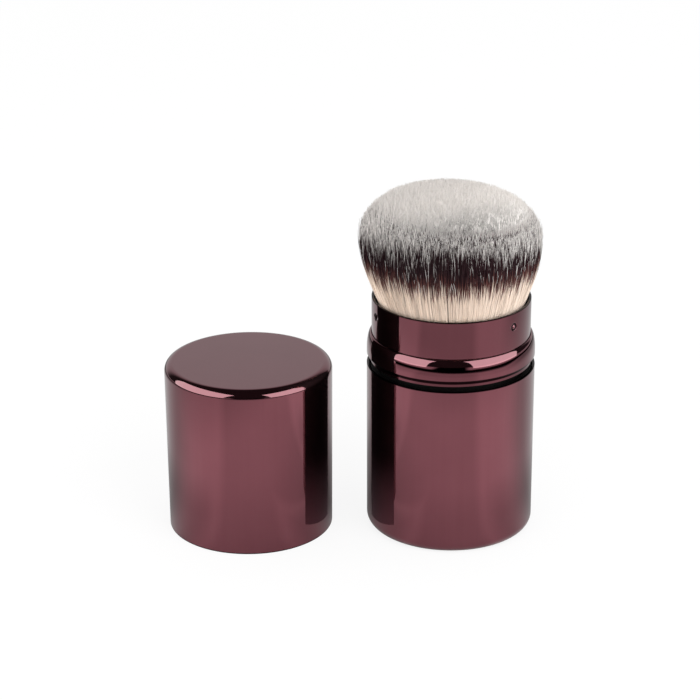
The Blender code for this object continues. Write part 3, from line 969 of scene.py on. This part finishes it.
@dataclass(frozen=True)
class Cap:
    """The cap, standing on its mouth, and the thimble inside it."""

    workshop: Workshop
    wall: float = 0.45 * MM
    flare: float = 0.25 * MM
    edge_round: float = 1.8 * MM
    mouth_round: float = 0.2 * MM
    liner_wall: float = 0.5 * MM
    fit: float = 0.1 * MM

    def build(self) -> None:
        """Make and dress the metal shell and the plastic thimble."""
        low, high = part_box("cap_shell")
        axis_x, radius = (low.x + high.x) / 2, (high.x - low.x) / 2
        mouth, edge = radius - self.flare, self.mouth_round
        # Painted shade: a dark line round the mouth's edge, where the cap stands on the floor.
        foot = arc((mouth - edge, edge), edge, edge, 0, -90, EDGE_STEPS, 1.0)
        foot.append(Spot(mouth - self.wall, 0))
        shell = self.cup((radius - self.edge_round, high.z - self.edge_round),
                         self.edge_round, self.wall, TOP_STEPS, foot)
        self.workshop.place(turned(shell, "cap_cup", axis_x), Body.CAP, Slot.PLATING, "cap_shell")

        liner_low, liner_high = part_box("cap_liner")
        rise = 1 - liner_low.z / (high.z - self.edge_round)
        lower = radius - self.flare * rise - self.wall - self.fit
        rounding = self.edge_round - self.wall - self.fit
        foot = [Spot(lower, liner_low.z), Spot(lower - self.liner_wall, liner_low.z)]
        thimble = self.cup((radius - self.edge_round, liner_high.z - rounding),
                           rounding, self.liner_wall, INNER_STEPS, foot)
        self.workshop.place(turned(thimble, "cap_thimble", axis_x), Body.CAP, Slot.PLASTIC, "cap_liner")

    @staticmethod
    def cup(centre: Span, rounding: float, wall: float, steps: int, foot: list[Spot]) -> list[Spot]:
        """The outline of a cup that stands on its mouth.

        Args:
            centre: The radius and height that its edge is rounded about.
            rounding: How far its edge is rounded.
            wall: How thick its wall is.
            steps: How many steps its outer edge takes.
            foot: The points around its mouth.

        Returns:
            The points in order.
        """
        inner = rounding - wall
        outline = [Spot(0, centre[1] + rounding)]
        outline += arc(centre, rounding, rounding, 90, 0, steps) + foot
        outline += arc(centre, inner, inner, 0, 90, INNER_STEPS)
        return outline + [Spot(0, centre[1] + inner)]


@dataclass(frozen=True)
class Layer:
    """One layer of fibres: how many, where they stand, how far they reach and how thick they are."""

    count: int
    inner: float
    outer: float
    reach: float
    points: int
    fibre_radius: float
    shortest: float
    short_power: float


@dataclass(frozen=True)
class Bristles:
    """The bundle of soft fibres, grown in sectors."""

    workshop: Workshop
    sectors: int = 16
    columns: int = 4
    waist: float = 12.5 * MM
    waist_top: float = 36.1 * MM
    root_radius: float = 13.25 * MM
    ferrule_top: float = 42.2 * MM
    sleeve_gap: float = 0.15 * MM
    exit_radius: float = 15.8 * MM
    flare: float = 2.87 * MM
    dome_height: float = 10.75 * MM
    roundness: float = 2.6
    flare_start: float = -0.3
    core_steps: int = 24
    core_share: float = 0.95
    core_below: float = 1.2 * MM
    # The core's tone, a little under 1, is painted shade deep in the bundle.
    core_tone: float = 0.9
    core_pale: float = 0.5
    tone_fall: float = 0.2
    # Painted shade in the fibres' tone: dimmer toward the front of the dome and, inside the bundle,
    # darker where the key lamp falls strongest.
    dim_fronts: Span = (0.08, 0.55)
    lamp_turn: float = -0.93
    lamp_shares: Triple = (0.3, 0.8, 0.28)
    inner_shares: Span = (0.92, 0.82)
    dimming: float = 0.08
    inner_dimming: float = 0.1
    lowest_foot: float = 48.0 * MM
    fibre_taper: float = 0.6
    clump_size: float = 1.6 * MM
    clump_drift: float = 0.7 * MM
    lone_drifts: Span = (-0.3, 0.3)
    spring: float = 0.7 * MM
    spring_power: float = 5.0
    stray_shares: Span = (0.94, 0.98)
    sway: float = -0.31 * MM
    slimness: float = 0.99
    swing: float = 0.05
    swing_power: float = 4.0
    lean: float = -0.02
    dark_height: float = 56.6 * MM
    dark_scatter: float = 2.0 * MM
    dark_clumps: float = 4.0 * MM
    streak_from: float = 0.64
    streak_length: float = 40.0 * MM
    lone_share: float = 0.008
    lone_length: float = 9.0 * MM
    bow: float = 2.5 * MM
    pale_height: float = 63.0 * MM
    pale_slope: float = -0.045
    pale_spread: float = 7.0 * MM
    pale_lengths: Span = (1.4 * MM, 9.0 * MM)
    pale_deepening: float = 16.0 * MM
    stroke_share: float = 0.2
    side_strokes: float = 0.6
    stroke_lengths: Span = (0.8 * MM, 3.6 * MM)
    squeezed: float = 0.72
    seed_step: float = 10.0
    fibre_sides: int = 3
    layers: tuple[Layer, ...] = (
        Layer(count=9600, inner=0.93, outer=1.0, reach=40.0 * MM, points=10, fibre_radius=0.07 * MM,
              shortest=7.0 * MM, short_power=4.0),
        Layer(count=30000, inner=0.0, outer=0.94, reach=6.0 * MM, points=5, fibre_radius=0.06 * MM,
              shortest=2.0 * MM, short_power=2.0),
    )

    @cached_property
    def rim(self) -> float:
        """The height of the collar's rim, where the flare starts."""
        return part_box("collar_shell")[1].z

    @cached_property
    def widest(self) -> float:
        """The height where the bundle is widest and the dome starts."""
        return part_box("bristle_head")[1].z - self.dome_height

    def build(self) -> None:
        """Grow every sector."""
        tree = self.growth_tree()
        outline = self.core_outline()
        for number in range(self.sectors):
            angle = math.tau * number / self.sectors
            piece = self.make_core(f"bristle_sector_{number + 1}", outline, angle)
            self.grow(piece, tree, self.growth_inputs(angle, number))
            self.workshop.place(piece, Body.BASE, Slot.FIBRE, "bristle_head")
            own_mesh(piece)

    def core_outline(self) -> list[Spot]:
        """The outline of the closed core under the fibres.

        Returns:
            Its points, from the foot's middle to the top.
        """
        rim, widest, steps = self.rim, self.widest, self.core_steps
        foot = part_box("bristle_head")[0].z
        sleeve_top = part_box("guide_sleeve")[1].z
        outline = [Spot(0, foot), Spot(self.waist, foot)]
        outline += [Spot(self.waist, self.waist_top), Spot(self.root_radius, self.waist_top)]
        outline += [Spot(self.root_radius, self.ferrule_top)]
        outline += [Spot(self.core_share * (self.exit_radius - self.sleeve_gap), sleeve_top)]
        for step in range(steps + 1):
            share = step / steps
            radius = self.exit_radius + self.flare * math.sin(share * math.pi / 2)
            outline.append(Spot(self.core_share * radius, rim + (widest - rim) * share))
        for step in range(1, steps + 1):
            angle = math.pi / 2 * step / steps
            across = math.cos(angle) ** (2 / self.roundness) if step < steps else 0
            up = math.sin(angle) ** (2 / self.roundness)
            radius = self.core_share * (self.exit_radius + self.flare) * across
            outline.append(Spot(radius, widest + (self.dome_height - self.core_below) * up))
        return outline

    def make_core(self, name: str, outline: Sequence[Spot], angle: float) -> Object:
        """Make one sector's closed core.

        Args:
            name: The object's name.
            outline: The core's outline.
            angle: The middle of the sector.

        Returns:
            The object, with the levels that its colour is read from.
        """
        bm = bmesh.new()
        marks = (Mark.DARK, Mark.PALE, Mark.TONE)
        dark, pale, tone = (bm.verts.layers.float.new(mark.value) for mark in marks)
        half = math.pi / self.sectors
        angles = [angle - half + 2 * half * step / self.columns for step in range(self.columns + 1)]
        pale_from = self.widest + self.dome_height * self.core_pale
        rings = []
        for spot in outline:
            rings.append(make_ring(bm, spot, angles))
            for vert in rings[-1]:
                vert[dark] = spot.height - self.dark_height
                vert[pale] = spot.height - pale_from - self.pale_slope * vert.co.x
                # Painted shade: the core takes a lowered tone.
                vert[tone] = self.core_tone
        for lower, upper in zip(rings, rings[1:]):
            bridge(bm, lower, upper, self.columns)
        bm.faces.new([ring[0] for ring in rings])
        bm.faces.new([ring[-1] for ring in reversed(rings)])
        return finish_mesh(bm, name)

    def growth_tree(self) -> GeometryNodeTree:
        """Build the tree that grows the layers of fibres on a core.

        Returns:
            The tree.
        """
        tree = bpy.data.node_groups.new("bristle_growth", "GeometryNodeTree")
        tree.interface.new_socket("Core", in_out="INPUT", socket_type="NodeSocketGeometry")
        tree.interface.new_socket("Bundle", in_out="OUTPUT", socket_type="NodeSocketGeometry")
        for name in self.growth_inputs(0.0, 0):
            tree.interface.new_socket(name, in_out="INPUT", socket_type="NodeSocketFloat")
        graph = Graph(tree)
        entry = graph.add("NodeGroupInput")
        given = {socket.name: Value(graph, socket) for socket in entry.outputs if socket.name}
        bundle = graph.add("GeometryNodeJoinGeometry", inputs={0: given["Core"]})
        for layer in self.layers:
            graph.fill(bundle, {0: self.grow_layer(graph, given, layer)})
        joined = Value(graph, bundle.outputs[0])
        real = graph.node("GeometryNodeRealizeInstances", inputs={"Geometry": joined})
        inputs = {"Geometry": real, "Material": self.workshop.materials[Slot.FIBRE]}
        dressed = graph.node("GeometryNodeSetMaterial", inputs=inputs)
        graph.add("NodeGroupOutput", inputs={"Bundle": dressed})
        return tree

    def growth_inputs(self, angle: float, number: int) -> dict[str, float]:
        """The sizes that the growing tree takes.

        Args:
            angle: The middle of the sector.
            number: The sector's number, which its seed follows.

        Returns:
            Each input's name and value.
        """
        return {
            "Angle": angle,
            "Spread": math.tau / self.sectors,
            "Seed": self.seed_step * number,
            "Rim": self.rim,
            "Widest": self.widest,
            "Exit Radius": self.exit_radius,
            "Flare": self.flare,
            "Dome Height": self.dome_height,
            "Roundness": self.roundness,
        }

    @staticmethod
    def grow(piece: Object, tree: GeometryNodeTree, inputs: dict[str, float]) -> None:
        """Grow the fibres on a core and keep them as a plain mesh.

        Args:
            piece: The core.
            tree: The growing tree.
            inputs: The tree's inputs by name.
        """
        modifier = piece.modifiers.new("growth", "NODES")
        modifier.node_group = tree
        for item in tree.interface.items_tree:
            if item.in_out == "INPUT" and item.name in inputs:
                modifier[item.identifier] = inputs[item.name]
        depsgraph = bpy.context.evaluated_depsgraph_get()
        grown = piece.evaluated_get(depsgraph)
        mesh = bpy.data.meshes.new_from_object(grown, preserve_all_data_layers=True, depsgraph=depsgraph)
        piece.modifiers.remove(modifier)
        piece.data = mesh
        mesh.name = piece.name

    def grow_layer(self, graph: Graph, given: dict[str, Value], layer: Layer) -> Value:
        """Add the nodes of one layer of fibres.

        Args:
            graph: The tree's graph.
            given: The tree's inputs by name.
            layer: The layer.

        Returns:
            The fibres' mesh.
        """
        points = graph.node("GeometryNodePoints", inputs={"Count": layer.count // self.sectors})
        line = graph.node("GeometryNodeCurvePrimitiveLine")
        line = graph.node("GeometryNodeResampleCurve", inputs={"Curve": line, "Count": layer.points})
        for name, value in self.fibre_values(graph, given, layer).items():
            points = graph.store(points, name, value)
        placed = graph.node("GeometryNodeInstanceOnPoints", inputs={"Points": points, "Instance": line})
        curves = graph.node("GeometryNodeRealizeInstances", inputs={"Geometry": placed})
        along = graph.node("GeometryNodeSplineParameter")
        foot, tip = graph.named("foot"), graph.named("tip")
        height = foot + (tip - foot) * along
        rise = (height - given["Rim"]) / (given["Widest"] - given["Rim"])
        rise = graph.maths("MINIMUM", graph.maths("MAXIMUM", rise, self.flare_start), 1.0)
        flared = graph.maths("SINE", rise * (math.pi / 2)) * given["Flare"] + given["Exit Radius"]
        radius = flared * graph.named("share") + along * along * graph.named("spring")
        turn = graph.named("turn") + along ** self.swing_power * graph.named("swing")
        for mark, level in ((Mark.DARK, "dark_from"), (Mark.PALE, "pale_from")):
            curves = graph.store(curves, mark.value, height - graph.named(level))
        bend = along * along * self.clump_drift
        across = graph.maths("COSINE", turn) * radius * self.slimness + bend * graph.named("drift_x")
        back = graph.maths("SINE", turn) * radius + bend * graph.named("drift_y")
        place = graph.vector(across + rise * self.sway, back, height)
        curves = graph.node("GeometryNodeSetPosition", inputs={"Geometry": curves, "Position": place})
        profile = {"Resolution": self.fibre_sides, "Radius": 1.0}
        inputs = {
            "Curve": curves,
            "Profile Curve": graph.node("GeometryNodeCurvePrimitiveCircle", inputs=profile),
            "Scale": (1 - along * along * self.fibre_taper) * layer.fibre_radius,
            "Fill Caps": True,
        }
        tubes = graph.node("GeometryNodeCurveToMesh", inputs=inputs)
        return graph.node("GeometryNodeSetShadeSmooth", inputs={"Geometry": tubes})

    def fibre_values(self, graph: Graph, given: dict[str, Value], layer: Layer) -> dict[str, Value]:
        """Work out each fibre's place, length, colour heights and tone, with painted shade in the tone.

        Args:
            graph: The tree's graph.
            given: The tree's inputs by name.
            layer: The layer.

        Returns:
            The values by name, to be stored on the fibres' points.
        """
        def draw(kind: Draw, low: float = 0.0, high: float = 1.0) -> Value:
            """Make one of the fibre's random draws."""
            return graph.chance(given["Seed"] + kind.value, low, high)

        index = graph.node("GeometryNodeInputIndex")
        even, spread = (
            graph.maths("FRACT", index * step + draw(kind, -EVEN_JITTER, EVEN_JITTER))
            for kind, step in ((Draw.EVEN, EVEN_STEPS[0]), (Draw.SPREAD, EVEN_STEPS[1]))
        )
        turn = given["Angle"] + (even - 0.5) * given["Spread"]
        share = graph.maths("SQRT", layer.inner ** 2 + spread * (layer.outer ** 2 - layer.inner ** 2))
        fall = graph.maths("MAXIMUM", 1 - share ** given["Roundness"], 0.0)
        dome = fall ** (1 / given["Roundness"])
        full_radius = given["Exit Radius"] + given["Flare"]
        side = graph.maths("COSINE", turn) * share * full_radius
        spot = graph.vector(side, graph.maths("SINE", turn) * share * full_radius)
        short = draw(Draw.SHORT) ** layer.short_power * layer.shortest
        tip = given["Widest"] + given["Dome Height"] * dome - short + side * self.lean
        foot = graph.maths("MAXIMUM", tip - layer.reach, self.lowest_foot)
        shifted = graph.node("ShaderNodeVectorMath", {"operation": "ADD"}, {0: spot, 1: NOISE_SHIFT})
        clumps = graph.noise(spot, self.clump_size)
        other = graph.noise(shifted, self.clump_size)
        scattered = draw(Draw.DARK, -1.0) * self.dark_scatter + (other - 0.5) * self.dark_clumps
        streak = graph.maths("MAXIMUM", other - self.streak_from, 0.0) * self.streak_length
        lone = graph.maths("LESS_THAN", draw(Draw.LONE), self.lone_share)
        front = (graph.maths("SINE", turn) * share) ** 2.0
        line = front * self.bow + side * self.pale_slope + self.pale_height
        line = line + draw(Draw.LINE) ** 2.0 * self.pale_spread
        depth = draw(Draw.DEPTH, *self.pale_lengths) + (1 - share) * self.pale_deepening
        pale_from = graph.maths("MAXIMUM", line, tip - depth)
        # Painted shade: tone falls toward the front of the dome, more inside the bundle, and most where
        # the key lamp falls strongest.
        ahead = graph.step(front, *self.dim_fronts)
        lit = graph.step(graph.maths("COSINE", turn - self.lamp_turn) * share, *self.lamp_shares)
        inside = graph.step(share, *self.inner_shares)
        painted_dimming = 1 - ahead * self.dimming - (ahead * self.inner_dimming + lit) * inside
        strokes = (1 - front) * self.side_strokes + self.stroke_share
        stroke = graph.maths("LESS_THAN", draw(Draw.STROKE), strokes)
        stroke_length = draw(Draw.STROKE_LENGTH, *self.stroke_lengths)
        stroke_from = graph.maths("MINIMUM", pale_from, tip - stroke_length)
        stray = graph.step(share, *self.stray_shares)
        return {
            "share": share,
            "turn": turn,
            "tip": tip,
            "foot": foot,
            "drift_x": (clumps - 0.5) * 2 + draw(Draw.DRIFT_X, *self.lone_drifts),
            "drift_y": (other - 0.5) * 2 + draw(Draw.DRIFT_Y, *self.lone_drifts),
            "spring": draw(Draw.SPRING) ** self.spring_power * stray * self.spring,
            "swing": draw(Draw.SWING, -1.0) * self.swing,
            "dark_from": scattered + self.dark_height - streak - lone * self.lone_length,
            "pale_from": pale_from + stroke * (stroke_from - pale_from),
            Mark.TONE.value: (1 - draw(Draw.TONE) ** 2.0 * self.tone_fall) * painted_dimming,
        }


@dataclass(frozen=True)
class Panel:
    """A soft light: where its middle is as seen from the brush, its size and its brightness."""

    name: str
    azimuth: float
    elevation: float
    radiance: float
    distance: float = 0.9
    width: float = 0.6
    height: float = 0.6
    colour: Triple = WHITE
    mirrored: bool = False


@dataclass(frozen=True)
class Studio:
    """The pale floor, the surroundings, the soft lights and the camera.

    Bright metal shows a studio's lamps and dark corners, where fibre only shows how much light
    falls on it. So each light is either one that the metal mirrors or one that falls on the rest.
    """

    camera_place: Vector = Vector((-21.12 * MM, -464.6 * MM, 223.8 * MM))
    camera_target: Vector = Vector((-21.12 * MM, 0.0, 38.95 * MM))
    camera_lens: float = 122.7
    camera_roll: float = math.radians(-0.23)
    floor_half: float = 3.0
    floor_white: Triple = (0.86, 0.86, 0.86)
    floor_glow: float = 0.86
    # Painted shade on the floor, seen only in the metal's reflections.
    floor_black_span: Span = (0.13, 0.19)
    floor_far: Span = (0.26, 0.36)
    floor_far_turns: Triple = (0.26, 0.42, 0.6)
    floor_dims: Triple = (0.08, 0.13, 0.3)
    floor_middle: Triple = (0.66, 0.42, 0.19)
    floor_aside: Span = (1.15, 1.9)
    floor_aside_dimming: float = 0.45
    floor_aside_reach: float = 0.28
    floor_foot: Span = (0.055, 0.030)
    floor_foot_turns: Triple = (0.45, 1.0, 0.24)
    floor_foot_dimming: float = 0.08
    floor_foot_edge: float = 0.55
    pale_back: Span = (0.60, 0.85)
    dark_top: Span = (0.86, 0.97)
    light_height: float = 0.04
    panels: tuple[Panel, ...] = (
        Panel("left_softbox", azimuth=-71, elevation=21, radiance=2.85, distance=0.45, width=0.73,
              height=0.46, colour=SOFTBOX_TINT, mirrored=True),
        Panel("right_softbox", azimuth=61, elevation=21, radiance=2.85, distance=0.45, width=0.66,
              height=0.46, colour=SOFTBOX_TINT, mirrored=True),
        Panel("key_light", azimuth=38, elevation=38, radiance=3.6),
        Panel("fill_light", azimuth=-30, elevation=25, radiance=1.6),
    )
    card_x: float = -21.3 * MM
    card_sides: Span = (-13.6 * MM, 0.2 * MM)
    card_top: float = 77.0 * MM
    card_fade: float = 17.0 * MM

    def build(self) -> None:
        """Make the whole studio."""
        self.make_floor()
        self.make_world()
        for panel in self.panels:
            self.make_panel(panel)
        self.make_card()
        self.make_camera()
        bpy.context.scene.view_settings.view_transform = "Standard"

    @staticmethod
    def make_sheet(name: str, corners: Sequence[Triple], material: Material) -> Object:
        """Make a flat sheet that belongs to the studio.

        Args:
            name: The object's name.
            corners: Its corners in order.
            material: Its material.

        Returns:
            The object.
        """
        mesh = bpy.data.meshes.new(name)
        mesh.from_pydata(corners, [], [tuple(range(len(corners)))])
        sheet = link(name, mesh)
        dress(sheet, material)
        return sheet

    def make_floor(self) -> None:
        """Lay the floor, which the camera sees nearly white, with the soft shadow left on it, and which
        the metal mirrors with painted shade.
        """
        material, graph, _ = node_material("floor_paper")
        mirrored = graph.node("ShaderNodeLightPath", output="Is Glossy Ray")
        # Painted shade on the floor, only for the rays that the metal mirrors.
        colour = graph.mix(mirrored * self.floor_shade(graph), self.floor_white, BLACK)
        paper = graph.node("ShaderNodeBsdfDiffuse", inputs={"Color": colour})
        glow = graph.node("ShaderNodeEmission")
        seen = graph.node("ShaderNodeLightPath", output="Is Camera Ray")
        mixed = graph.node("ShaderNodeMixShader", inputs={0: seen * self.floor_glow, 1: paper, 2: glow})
        graph.fill(material.node_tree.nodes["Material Output"], {"Surface": mixed})
        half = self.floor_half
        corners = [(-half, -half, 0), (half, -half, 0), (half, half, 0), (-half, half, 0)]
        self.make_sheet("floor", corners, material)

    def floor_shade(self, graph: Graph) -> Value:
        """The painted shade that the metal mirrors on the floor: dimmer ahead, aside and at the foot,
        black beyond a distance, and lighter again farther off away from straight ahead.

        The cap stands as far beyond the card as the brush does before it, so its floor is the same,
        folded.

        Args:
            graph: The floor's graph.

        Returns:
            The darkness, from 0 to 1.
        """
        x, y, _ = graph.parts(graph.place())
        folded = graph.maths("ABSOLUTE", x - self.card_x) + self.card_x
        turn = graph.maths("ABSOLUTE", graph.maths("ARCTAN2", folded, y * -1))
        aside = graph.step(turn, *self.floor_aside)
        squared = (folded * folded + x * x) * 0.5 + y * y
        away = graph.maths("SQRT", squared) * (1 - aside * self.floor_aside_reach)
        close = graph.step(graph.maths("SQRT", folded * folded + y * y), *self.floor_foot)
        side = graph.step(turn, *self.floor_foot_turns) * (1 - aside * self.floor_foot_edge)
        dims = graph.step(away, *self.floor_dims) + aside * self.floor_aside_dimming
        dims = dims + graph.step(turn, *self.floor_middle) + close * (side + self.floor_foot_dimming)
        dims = graph.maths("MAXIMUM", dims, graph.step(away, *self.floor_black_span))
        far = graph.step(away, *self.floor_far) * graph.step(turn, *self.floor_far_turns)
        return graph.maths("MINIMUM", dims, 1 - far)

    def make_world(self) -> None:
        """Surround the brush: plain white, but a pale back and dark front in the metal."""
        world = bpy.data.worlds.new("studio")
        bpy.context.scene.world = world
        world.use_nodes = True
        graph = Graph(world.node_tree)
        _, behind, up = graph.parts(graph.node("ShaderNodeTexCoord", output="Generated"))
        around = graph.mix(graph.step(behind, *self.pale_back), DARK_FRONT, PALE_BACK)
        around = graph.mix(graph.step(up, *self.dark_top), around, DARK_FRONT)
        mirrored = graph.node("ShaderNodeLightPath", output="Is Glossy Ray")
        graph.fill(world.node_tree.nodes["Background"], {"Color": graph.mix(mirrored, WHITE, around)})

    def make_panel(self, panel: Panel) -> None:
        """Hang one soft light, facing the brush.

        Args:
            panel: The light.
        """
        light = bpy.data.lights.new(panel.name, "AREA")
        light.shape = "RECTANGLE"
        light.size = panel.width
        light.size_y = panel.height
        light.color = panel.colour
        light.energy = panel.radiance * math.pi * panel.width * panel.height
        azimuth, elevation = math.radians(panel.azimuth), math.radians(panel.elevation)
        level = math.cos(elevation)
        out = Vector((math.sin(azimuth) * level, -math.cos(azimuth) * level, math.sin(elevation)))
        lamp = link(panel.name, light)
        lamp.location = out * panel.distance + Vector((0, 0, self.light_height))
        lamp.rotation_euler = (-out).to_track_quat("-Z", "Y").to_euler()
        lamp.visible_camera = False
        lamp.visible_glossy = panel.mirrored
        lamp.visible_diffuse = not panel.mirrored

    def make_card(self) -> None:
        """Stand a dark card between brush and cap, where the photograph's brushes mirror each other."""
        material, graph, shader = node_material("card_black")
        height = graph.parts(graph.place())[2]
        colour = graph.mix(graph.step(height, 0.0, self.card_fade), PALE_FOOT, DARK_CARD)
        graph.fill(shader, {"Base Color": colour})
        x, top = self.card_x, self.card_top
        near, far = self.card_sides
        corners = [(x, near, 0), (x, far, 0), (x, far, top), (x, near, top)]
        card = self.make_sheet("reflection_card", corners, material)
        card.visible_camera = False
        card.visible_diffuse = False
        card.visible_shadow = False
        card.visible_transmission = False

    def make_camera(self) -> None:
        """Set the camera where the photograph was taken from."""
        data = bpy.data.cameras.new("camera")
        data.lens = self.camera_lens
        camera = link("camera", data)
        aim = (self.camera_target - self.camera_place).to_track_quat("-Z", "Y")
        camera.rotation_euler = (aim.to_matrix() @ Matrix.Rotation(self.camera_roll, 3, "Z")).to_euler()
        camera.location = self.camera_place
        bpy.context.scene.camera = camera


def main() -> None:
    """Build the brush, its studio and the camera."""
    logging.basicConfig(level=logging.INFO, format="%(name)s: %(message)s")
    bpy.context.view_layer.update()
    workshop = Workshop(frame["nodes"])
    for piece in (Base(workshop), Collar(workshop), Cap(workshop), Bristles(workshop)):
        piece.build()
        log.info("%s is built", type(piece).__name__)
    Studio().build()


if __name__ == "__main__":
    main()
